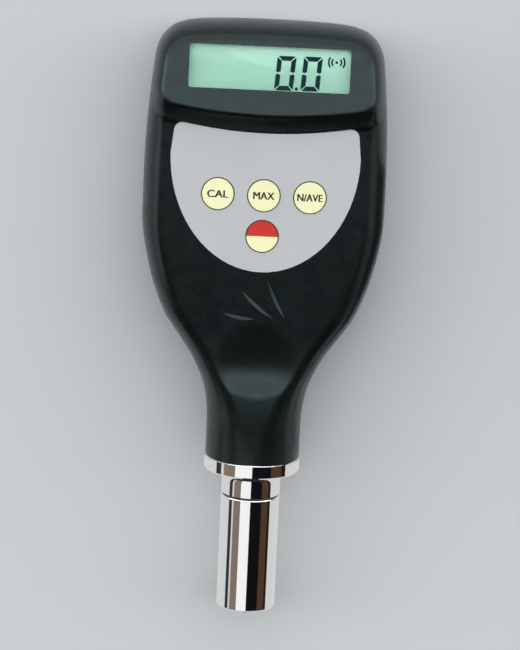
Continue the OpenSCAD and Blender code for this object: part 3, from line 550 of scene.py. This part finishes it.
def rounded_rect(w, h, r, n=6):
    out = []
    for k, (sx, sy) in enumerate(((1, 1), (-1, 1), (-1, -1), (1, -1))):
        for i in range(n + 1):
            a = math.pi / 2 * (k + i / n)
            out.append((sx * (w / 2 - r) + r * math.cos(a), sy * (h / 2 - r) + r * math.sin(a)))
    return out


def circle(x, y, r, n=64):
    return [(x + r * math.cos(2 * math.pi * i / n), y + r * math.sin(2 * math.pi * i / n)) for i in range(n)]


def hood_place():
    """The hood's own axes: its middle, with the tilt of its face."""
    return Matrix.Translation((0, HOOD_Y, HOOD_Z)) @ Matrix.Rotation(-HOOD_TILT, 4, "X")


def panel_outline(grow):
    """The keypad panel's outline, read from its CAD node and grown by a gap."""
    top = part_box("keypad_panel")[1].z
    mids = [middle(key) for key in KEYS]
    cy = (PANEL_Y + Y0) * MM - PANEL_INNER
    seen = {}
    for v in nodes["keypad_panel"].data.vertices:
        clear = all(math.hypot(v.co.x - x, v.co.y - y) > KEY_CLEAR for x, y in mids)
        if clear and v.co.z > top - SAME_HEIGHT:
            seen[round(v.co.x, 6), round(v.co.y, 6)] = math.atan2(v.co.y - cy, v.co.x)
    loop = sorted(seen, key=seen.get)
    out = []
    for i, (x, y) in enumerate(loop):
        x0, y0 = loop[i - 1]
        x1, y1 = loop[(i + 1) % len(loop)]
        run = math.hypot(x1 - x0, y1 - y0)
        out.append((x / MM + (y1 - y0) / run * grow, y / MM - (x1 - x0) / run * grow - Y0))
    return out


def slash_cutter(a, b):
    """Leaf-shaped groove: a steep wall along its upper right side, a long flank along its lower left side."""
    along = np.subtract(b, a)
    side = np.array([-along[1], along[0]]) / np.hypot(*along)
    bm = bmesh.new()
    rings = []
    for i in range(LEAF_STEPS + 1):
        u = i / LEAF_STEPS
        k = max(math.sin(math.pi * u) ** LEAF_POWER, LEAF_END)
        at = np.add(a, along * u)
        right, left = SLASH_STEEP * k * (1 + SLASH_OVER), -SLASH_FLANK * k * (1 + SLASH_OVER)
        deep = SLASH_DEEP * k
        over = SLASH_OVER * deep
        section = ((right, SLASH_TOP), (right, over), (0, -deep), (left, over), (left, SLASH_TOP))
        ring = []
        for off, z in section:
            x, y = at + side * off
            ring.append(bm.verts.new(row(x, PANEL_Y - PANEL_LOW + y, FACE + z)))
        rings.append(ring)
    for r0, r1 in zip(rings, rings[1:]):
        for j in range(len(r0)):
            bm.faces.new((r0[j - 1], r0[j], r1[j], r1[j - 1]))
    bm.faces.new(rings[0])
    bm.faces.new(rings[-1])
    bmesh.ops.recalc_face_normals(bm, faces=bm.faces)
    return add_object("slash", bm)


def cut(o, cutters):
    """Takes the cutters' shapes out of an object and removes them."""
    for c in cutters:
        m = o.modifiers.new("cut", "BOOLEAN")
        m.operation = "DIFFERENCE"
        m.solver = "MANIFOLD"
        m.object = c
    me = bpy.data.meshes.new_from_object(o.evaluated_get(bpy.context.evaluated_depsgraph_get()))
    o.modifiers.clear()
    o.data = me
    for c in cutters:
        bpy.data.objects.remove(c)


def front_cutters():
    yield prism(rounded_rect(LCD_W, LCD_H, LCD_CORNER), *LCD_CUT, hood_place())
    yield prism(panel_outline(PANEL_GAP), FACE - PANEL_RECESS, FACE + CUT_OVER)
    for key in KEYS:
        x, y = middle(key)
        yield prism(circle(x / MM, y / MM - Y0, KEY_HOLE), *KEY_CUT)
    for a, b in SLASHES:
        yield slash_cutter(a, b)


front = front_shell_mesh()
cut(front, list(front_cutters()))
front.data.materials.clear()
front.data.materials.append(housing)
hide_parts("front_shell")
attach(front, "instrument")

# Shading of the shells: smooth, and sharp at edges past an angle

FRONT_ANGLE, SHELL_ANGLE, SHELL_WELD = 14, 32, 0.000005


def smooth_by_angle(o, degrees):
    """Smooth shading that stops at edges sharper than an angle."""
    for poly in o.data.polygons:
        poly.use_smooth = True
    split = o.modifiers.new("split", "EDGE_SPLIT")
    split.split_angle = math.radians(degrees)
    split.use_edge_sharp = False


for name in ("rear_shell", "battery_cover"):
    weld = nodes[name].modifiers.new("weld", "WELD")
    weld.merge_threshold = SHELL_WELD
    smooth_by_angle(nodes[name], SHELL_ANGLE)
smooth_by_angle(front, FRONT_ANGLE)

# Collar and barrel: a dark ring in their seam, painted shade of the gap between them; the barrel's rounded
# lip; the fillet under the flange

# Station of the seam, the barrel's radius, station of the flange's underside, the fillet's radius
SEAM, BARREL_R, FLANGE, FILLET = 31.8, 8.0, 39.0, 2.6
# The lip's radius and how far its middle lies in, how far the dark ring of painted seam shade lies in and its
# height
LIP, LIP_IN, SEAM_SHADE_IN, SEAM_SHADE_H = 0.45, 0.44, 0.02, 0.4


def lathe(name, profile, material, n=96):
    """Ring about the barrel's axis from a profile of (radius, station) points in millimetres."""
    bm = bmesh.new()
    turn = [2 * math.pi * i / n for i in range(n)]
    rings = [[bm.verts.new(row(r * math.sin(q), y, r * math.cos(q))) for q in turn] for r, y in profile]
    for r0, r1 in zip(rings, rings[1:]):
        for i in range(n):
            bm.faces.new((r0[i - 1], r0[i], r1[i], r1[i - 1])).smooth = True
    add_piece(name, bm, material, "instrument")


def arc(r, y, radius, a0, a1, n=10):
    return [(r + radius * math.cos(q), y + radius * math.sin(q)) for q in turn_by(a0, a1, n)]


lathe("barrel_lip", arc(BARREL_R - LIP_IN, SEAM - LIP_IN, LIP, 0, 90), chrome)
# Dark ring on the seam's chamfers: painted shade of the gap between collar and barrel
lathe("seam_painted_shade", [(BARREL_R - LIP_IN, SEAM), (BARREL_R - SEAM_SHADE_IN, SEAM + SEAM_SHADE_H)], inner)
lathe("flange_fillet", arc(BARREL_R + FILLET, FLANGE - FILLET, FILLET, 180, 90), chrome)

# Case screws: flat dark crosses on their heads, painted shade in place of cross recesses

CROSS_L, CROSS_W = 2.3, 0.55


def screw_painted_cross_shade(name):
    """Flat dark cross on the head of each screw of a CAD node, seen from the back: painted shade standing in
    for a cross recess.
    """
    spots = {}
    vertices = nodes[name].data.vertices
    mid = sum((v.co.y for v in vertices), 0.0) / len(vertices)
    for v in vertices:
        spots.setdefault((v.co.x > 0, v.co.y > mid), []).append(v.co)
    bm = bmesh.new()
    for group in spots.values():
        x = (min(c.x for c in group) + max(c.x for c in group)) / 2
        y = (min(c.y for c in group) + max(c.y for c in group)) / 2
        z = min(c.z for c in group) - PRINT_GAP
        # Two flat dark bars per screw: painted shade where a cross recess would be
        for wide, high in ((CROSS_L, CROSS_W), (CROSS_W, CROSS_L)):
            corners = ((-wide, -high), (wide, -high), (wide, high), (-wide, high))
            bm.faces.new([bm.verts.new((x + dx * MM / 2, y + dy * MM / 2, z)) for dx, dy in corners])
    add_piece("screw_painted_cross_shade", bm, inner, "instrument")


screw_painted_cross_shade("case_screws")

# Calibration spring, the one that shortens as the indenter goes in: a copy of the CAD node with a mesh of its
# own, in its place

spring = bpy.data.objects.new("indenter_spring_soft", nodes["indenter_spring"].data.copy())
scene.collection.objects.link(spring)
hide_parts("indenter_spring")
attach(spring, "instrument")
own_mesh(spring)

# Display figures: millimetres from the opening's left edge and down from its top

# The display's face along the hood's own axis, and the ink's two faces over it
LCD_TOP, INK_LOW, INK_HIGH = -1.3, 0.01, 0.05
# Figures: places, size, stroke, the gap between strokes, and how far they lean
DIGITS = ((23.1, 2.3), (30.0, 2.2))
DIGIT_W, DIGIT_H, STROKE, STROKE_GAP, LEAN = 4.95, 9.0, 1.22, 0.14, math.tan(math.radians(4))
# A stroke's ends: at the figure's corner, and at its middle on the inner side, the point and the outer side
TIP, INNER_END, POINT_IN, POINT_END, OUTER_END = 0.26, 0.5, 0.5, 0.18, 0.42
# Decimal point, and the icon's dot and arcs as (radius, half angle)
DECIMAL, DECIMAL_R = (28.35, 10.75), 0.43
ICON, ICON_DOT, ICON_STROKE, ICON_ARCS = (38.6, 3.4), 0.36, 0.46, ((1.25, 42), (2.1, 38))
DOT_SIDES = 24


def on_lcd(loop):
    plan = [(u - LCD_W / 2, LCD_H / 2 - v) for u, v in loop]
    return prism(plan, LCD_TOP + INK_LOW, LCD_TOP + INK_HIGH, hood_place())


def digit_zero(left, top):
    """Strokes of a seven-stroke nought."""
    w, h, t = DIGIT_W, DIGIT_H, STROKE
    inset = t + STROKE_GAP
    mid = h / 2
    upper = [(0, TIP), (t, inset), (t, mid - INNER_END), (POINT_IN, mid - POINT_END), (0, mid - OUTER_END)]
    bars = [
        [(TIP, 0), (w - TIP, 0), (w - inset, t), (inset, t)],
        upper,
        [(w - x, y) for x, y in upper],
        [(x, h - y) for x, y in upper],
        [(w - x, h - y) for x, y in upper],
        [(inset, h - t), (w - inset, h - t), (w - TIP, h), (TIP, h)],
    ]
    return [on_lcd([(left + x - LEAN * y, top + y) for x, y in bar]) for bar in bars]


def arc_band(cu, cv, r, wide, a0, a1, n=14):
    """Band along an arc."""
    turn = turn_by(a0, a1, n)
    far = [(cu + (r + wide / 2) * math.cos(q), cv + (r + wide / 2) * math.sin(q)) for q in turn]
    near = [(cu + (r - wide / 2) * math.cos(q), cv + (r - wide / 2) * math.sin(q)) for q in reversed(turn)]
    return on_lcd(far + near)


def lcd_figures():
    figures = [bar for place in DIGITS for bar in digit_zero(*place)]
    figures.append(on_lcd(circle(*DECIMAL, DECIMAL_R, DOT_SIDES)))
    figures.append(on_lcd(circle(*ICON, ICON_DOT, DOT_SIDES)))
    for r, spread in ICON_ARCS:
        for facing in (0, 180):
            figures.append(arc_band(*ICON, r, ICON_STROKE, facing - spread, facing + spread))
    bm = bmesh.new()
    for o in figures:
        bm.from_mesh(o.data)
        bpy.data.objects.remove(o)
    add_piece("lcd_figures", bm, lcd_ink, "instrument")


lcd_figures()

# Key legends and the rings printed round the keys

# Height and thickness of the legends, and how far two copies move to either side to make them bold
LEGEND_H, LEGEND_THICK, BOLD = 1.95, 0.02, 0.085
# Rings: radii, height over the panel in metres, sides
RING_IN, RING_OUT, RING_GAP, RING_SIDES = 4.19, 4.46, 0.00002, 72


def legend(words, key, wide):
    """Flat printed words on a key's top, stretched to a width in millimetres."""
    c = bpy.data.curves.new("legend", "FONT")
    c.body = words
    c.resolution_u = 6
    c.extrude = 0.5
    o = bpy.data.objects.new("legend", c)
    scene.collection.objects.link(o)
    bpy.context.view_layer.update()
    me = bpy.data.meshes.new_from_object(o.evaluated_get(bpy.context.evaluated_depsgraph_get()))
    bpy.data.objects.remove(o)
    co = np.array([v.co[:] for v in me.vertices])
    low, high = co.min(0), co.max(0)
    scale = np.array([wide, LEGEND_H, LEGEND_THICK]) * MM / (high - low)
    at = np.array([*middle(key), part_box(key)[1].z + PRINT_GAP])
    co = (co - (low + high) / 2) * scale + at
    bm = bmesh.new()
    for shift in (-BOLD, BOLD):
        me.vertices.foreach_set("co", (co + (shift * MM, 0, 0)).ravel())
        bm.from_mesh(me)
    bpy.data.meshes.remove(me)
    add_piece("legend_" + key[4:], bm, legend_ink, key)


def key_ring(key):
    """Dark line printed on the panel around a key."""
    x, y = middle(key)
    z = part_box("keypad_panel")[1].z + RING_GAP
    bm = bmesh.new()
    near, far = [
        [bm.verts.new((u, v, z)) for u, v in circle(x, y, r * MM, RING_SIDES)] for r in (RING_IN, RING_OUT)
    ]
    for i in range(RING_SIDES):
        bm.faces.new((near[i - 1], far[i - 1], far[i], near[i]))
    add_piece("ring_" + key[4:], bm, legend_ink, "instrument")


legend("CAL", "key_cal", 5.5)
legend("MAX", "key_max", 5.5)
legend("N/AVE", "key_average", 6.6)
for key in KEYS:
    key_ring(key)

# Stage: a pale floor, a tent of light, two side lights

FLOOR_SIZE, FLOOR_DROP = 4, 0.0002
FLOOR = (0.585, 0.595, 0.605), (0.605, 0.615, 0.625)
# White over the head's end of the table, open and dark over the barrel's end: places along Y from 0 to 1
TENT = (
    (0.36, (0.006, 0.007, 0.008)),
    (0.44, (0.02, 0.021, 0.022)),
    (0.5, (0.22, 0.23, 0.24)),
    (0.55, (0.86, 0.89, 0.91)),
    (0.6, (0.74, 0.77, 0.78)),
    (0.7, (0.46, 0.48, 0.49)),
    (0.9, (0.46, 0.48, 0.49)),
)
TENT_STRENGTH = 3.25
# Side lights: distance across, along and up, size, what they look at, power on the left and right
LIGHT_X, LIGHT_Y, LIGHT_Z, LIGHT_SIZE, LIGHT_LOOK = 1.15, -0.1, 0.4, (1.0, 0.7), (0, 0, 0.01)
LEFT_POWER, RIGHT_POWER = 2.4, 0.9


def pale_floor():
    bpy.ops.mesh.primitive_plane_add(size=FLOOR_SIZE, location=(0, 0, -FLOOR_DROP))
    floor = bpy.context.object
    floor.name = "floor"
    m, t, p = new_material("floor_pale")
    t.links.new(mottled(t, 3, 3, *FLOOR), p.inputs["Base Color"])
    p.inputs["Roughness"].default_value = 0.9
    p.inputs["Specular IOR Level"].default_value = 0.1
    floor.data.materials.append(m)


def light_tent():
    world = bpy.data.worlds.new("studio")
    scene.world = world
    world.use_nodes = True
    t = world.node_tree
    way = t.nodes.new("ShaderNodeTexCoord")
    axes = t.nodes.new("ShaderNodeSeparateXYZ")
    t.links.new(way.outputs["Generated"], axes.inputs[0])
    across = t.nodes.new("ShaderNodeMapRange")
    across.inputs["From Min"].default_value = -1
    t.links.new(axes.outputs["Y"], across.inputs["Value"])
    sky = t.nodes["Background"]
    t.links.new(ramp(t, across.outputs[0], TENT), sky.inputs["Color"])
    sky.inputs["Strength"].default_value = TENT_STRENGTH


def side_light(name, side, power):
    d = bpy.data.lights.new(name, "AREA")
    d.shape = "RECTANGLE"
    d.size, d.size_y = LIGHT_SIZE
    d.energy = power
    o = bpy.data.objects.new(name, d)
    scene.collection.objects.link(o)
    o.location = (side * LIGHT_X, LIGHT_Y, LIGHT_Z)
    o.rotation_euler = (Vector(LIGHT_LOOK) - o.location).to_track_quat("-Z", "Y").to_euler()


pale_floor()
light_tent()
side_light("left_light", -1, LEFT_POWER)
side_light("right_light", 1, RIGHT_POWER)

# Studio cards: what the chrome mirrors, and a dark strip beside the object's right side

# Cards round the barrel: distance from its axis, ends along Y; the end that reaches the flange
CARD_REACH, CARD_END, CARD_START, FLANGE_START = 0.06, -0.101, -0.047, -0.0405
# Cards on the floor beside the barrel: height, and ends across
FLOOR_GAP, BARREL_NEAR, BARREL_FAR = 0.0003, 0.004, 0.0585
# Dark strip on the floor beside the head: ends along Y and across, colour
SHADE_START, SHADE_END, SHADE_NEAR, SHADE_FAR = 0.042, -0.044, 0.042, 0.17
SHADE = (0.05, 0.052, 0.053)
PAPER = (0.7, 0.7, 0.69)
# Name, two angles from straight up in degrees, colour
BARREL_CARDS = (
    ("card_white", -35, 2, (1.0, 1.0, 1.0)),
    ("card_black", 2, 44, (0.006, 0.006, 0.008)),
    ("card_brown", 44, 70, (0.083, 0.041, 0.022)),
    ("card_dark_right", 70, 82, (0.02, 0.012, 0.008)),
    ("card_low_right", 82, 102, PAPER),
    ("card_umber", -63, -35, (0.235, 0.176, 0.137)),
    ("card_white_edge", -70, -63, (0.69, 0.69, 0.69)),
    ("card_dark_left", -85, -70, (0.03, 0.03, 0.03)),
    ("card_low_left", -102, -85, PAPER),
)


def card(name, line, start, colour, end=CARD_END):
    """Card along a line of (x, z) points between two places along Y, that only reflections see."""
    bm = bmesh.new()
    near, far = [[bm.verts.new((x, y, z)) for x, z in line] for y in (end, start)]
    for i in range(len(line) - 1):
        bm.faces.new((near[i], near[i + 1], far[i + 1], far[i]))
    o = add_object(name, bm)
    m, _, p = new_material(name)
    p.inputs["Base Color"].default_value = (0, 0, 0, 1)
    p.inputs["Specular IOR Level"].default_value = 0
    p.inputs["Emission Color"].default_value = (*colour, 1)
    p.inputs["Emission Strength"].default_value = 1
    o.data.materials.append(m)
    o.visible_camera = o.visible_diffuse = o.visible_shadow = o.visible_transmission = False


def bent_card(name, low, high, colour, n=12):
    """Card on an arc about the barrel's axis, between two angles from straight up."""
    line = [
        (CARD_REACH * math.sin(q), Z0 * MM + CARD_REACH * math.cos(q)) for q in turn_by(low, high, n)
    ]
    card(name, line, CARD_START, colour)


def flat_line(near, far):
    return [(near, FLOOR_GAP), (far, FLOOR_GAP)]


for values in BARREL_CARDS:
    bent_card(*values)
card("card_floor_left", flat_line(-BARREL_NEAR, -BARREL_FAR), FLANGE_START, PAPER)
card("card_floor_right", flat_line(BARREL_NEAR, BARREL_FAR), FLANGE_START, PAPER)
card("card_shade", flat_line(SHADE_NEAR, SHADE_FAR), SHADE_START, SHADE, SHADE_END)

# Camera: over the head's end, looking down, turned as the photograph's

ELEVATION, ROLL, DISTANCE = math.radians(77.6), math.radians(-2.65), 0.8
FRAME_W, FRAME_H, PX_PER_MM, SENSOR = 520, 650, 3.694, 36
# Station on the barrel's axis, and the pixel where it falls
AIM_STATION, AIM_PX, AIM_PY = 84, 258.8, 307


def place_camera(point, px, py):
    """Stands the camera so that a point of the object falls on a pixel of the frame."""
    right = Vector((1, 0, 0))
    up = Vector((0, math.sin(ELEVATION), -math.cos(ELEVATION)))
    back = Vector((0, math.cos(ELEVATION), math.sin(ELEVATION)))
    cam_right = right * math.cos(ROLL) - up * math.sin(ROLL)
    cam_up = up * math.cos(ROLL) + right * math.sin(ROLL)
    cam = bpy.data.cameras.new("camera")
    cam.sensor_fit = "VERTICAL"
    cam.sensor_height = SENSOR
    cam.lens = SENSOR * DISTANCE / (FRAME_H / PX_PER_MM * MM)
    cam.clip_start = 0.01
    o = bpy.data.objects.new("camera", cam)
    scene.collection.objects.link(o)
    scene.camera = o
    dx = (px - FRAME_W / 2) / PX_PER_MM * MM
    dy = (FRAME_H / 2 - py) / PX_PER_MM * MM
    o.matrix_world = Matrix(((*cam_right, 0), (*cam_up, 0), (*back, 0), (0, 0, 0, 1))).transposed()
    o.location = point + back * DISTANCE - cam_right * dx - cam_up * dy


place_camera(row(0, AIM_STATION, 0), AIM_PX, AIM_PY)
